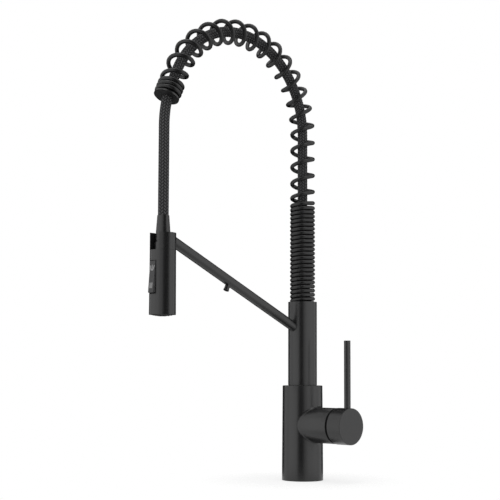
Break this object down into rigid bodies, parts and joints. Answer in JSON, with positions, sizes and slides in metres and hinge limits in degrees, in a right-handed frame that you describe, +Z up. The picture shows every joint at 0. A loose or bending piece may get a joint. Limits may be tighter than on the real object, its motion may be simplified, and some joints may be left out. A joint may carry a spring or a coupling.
{
  "type": "pre rinse faucet",
  "caption": "Matt black deck-mounted kitchen faucet with a side lever, a coil spring arch over a braided hose, and a pull-down spray head held by a dock on a slanted arm.",
  "frame": {"origin": "centre of the base's round mounting opening, on the deck", "axes": "+Z up, the spout reaches towards -Y, the handle stands out towards +X"},
  "size_m": [0.1079, 0.2759, 0.5669],
  "materials": {
    "black_metal": "matt black",
    "black_spring": "matt black",
    "brass": "machined",
    "steel": "machined",
    "ceramic": "lapped",
    "rubber": "matt",
    "white_plastic": "moulded",
    "black_plastic": "satin",
    "frame_plastic": "satin",
    "nozzle_rubber": "matt",
    "hose_braid": "braided nylon",
    "hose_liner": "smooth",
    "check_plastic": "moulded",
    "spool_plastic": "moulded"
  },
  "bodies": {
    "valve_body": {"base_gasket": "rubber", "mounting_ring": "brass", "body_shell": "black_metal", "valve_housing": "black_metal", "waterway_core": "brass", "cartridge_sleeve": "brass", "port_gasket": "rubber", "cartridge_base": "white_plastic", "fixed_disc": "ceramic", "cartridge_case": "white_plastic", "cartridge_nut": "brass", "trim_dome": "black_metal", "glide_ring": "black_plastic", "swivel_stop_screw": "steel"},
    "carrier": {"stem_carrier": "white_plastic", "stem_pin": "steel"},
    "disc": {"moving_disc": "ceramic"},
    "handle": {"cartridge_stem": "steel", "handle_hub": "black_metal", "lever_rod": "black_metal", "hub_set_screw": "steel", "hub_screw_plug": "black_metal"},
    "riser": {"riser_tube": "black_metal", "swivel_spigot": "brass", "swivel_o_rings": "rubber", "lower_nipple": "brass", "lower_ferrule": "steel", "arm_anchor": "brass", "spring_seat": "black_metal", "guide_tube": "black_metal", "coil_spring": "black_spring", "spring_end_bush": "black_metal", "arch_hose_liner": "hose_liner", "arch_hose_braid": "hose_braid", "drop_hose_liner": "hose_liner", "drop_hose_braid": "hose_braid", "arm_tube": "black_metal", "arm_core": "steel", "arm_lock_screw": "black_metal", "dock_ring": "black_metal", "dock_liner": "frame_plastic"},
    "hose_end": {"hose_cone": "black_metal", "upper_ferrule": "steel", "swivel_nipple": "black_metal", "nipple_o_rings": "rubber"},
    "spray_head": {"head_shell": "black_metal", "head_inlet": "black_metal", "filter_washer": "steel", "check_valve": "check_plastic", "diverter_body": "white_plastic", "nozzle_plate": "black_plastic", "spray_nozzles": "nozzle_rubber", "aerator": "black_plastic", "face_ring": "black_metal", "button_frame": "frame_plastic", "rocker_pin": "steel"},
    "rocker": {"rocker_button": "black_plastic"},
    "spool": {"diverter_spool": "spool_plastic"}
  },
  "joints": [
    {"name": "spout_swivel", "type": "hinge", "parent": "valve_body", "child": "riser", "pos_m": [0, 0, 0.1186], "axis": [0, 0, 1], "range_deg": [-90, 90]},
    {"name": "handle_turn", "type": "hinge", "parent": "valve_body", "child": "carrier", "pos_m": [0.05, 0, 0.0694], "axis": [1, 0, 0], "range_deg": [0, 90]},
    {"name": "handle_lift", "type": "hinge", "parent": "carrier", "child": "handle", "pos_m": [0.05, 0, 0.0694], "axis": [0, 1, 0], "range_deg": [0, 7.5]},
    {"name": "disc_slide", "type": "slide", "parent": "carrier", "child": "disc", "axis": [0, 0, 1], "range_m": [0, 0.003]},
    {"name": "head_pull", "type": "slide", "parent": "riser", "child": "hose_end", "axis": [0, 0, -1], "range_m": [0, 0.15], "stiffness_N_per_m": 60, "springref_m": -0.15, "deforming": ["drop_hose_liner", "drop_hose_braid"]},
    {"name": "head_spin", "type": "hinge", "parent": "hose_end", "child": "spray_head", "pos_m": [0, -0.232, 0.266], "axis": [0, 0, 1], "continuous": true},
    {"name": "rocker_tilt", "type": "hinge", "parent": "spray_head", "child": "rocker", "pos_m": [0, -0.24355, 0.2426], "axis": [1, 0, 0], "range_deg": [0, 8.8]},
    {"name": "spool_slide", "type": "slide", "parent": "spray_head", "child": "spool", "axis": [0, 0, 1], "range_m": [0, 0.000927]}
  ],
  "couplings": [
    {"joint": "disc_slide", "follows": "handle_lift", "m_per_rad": 0.02236},
    {"joint": "rocker_tilt", "follows": "spool_slide", "rad_per_m": 165.56}
  ]
}
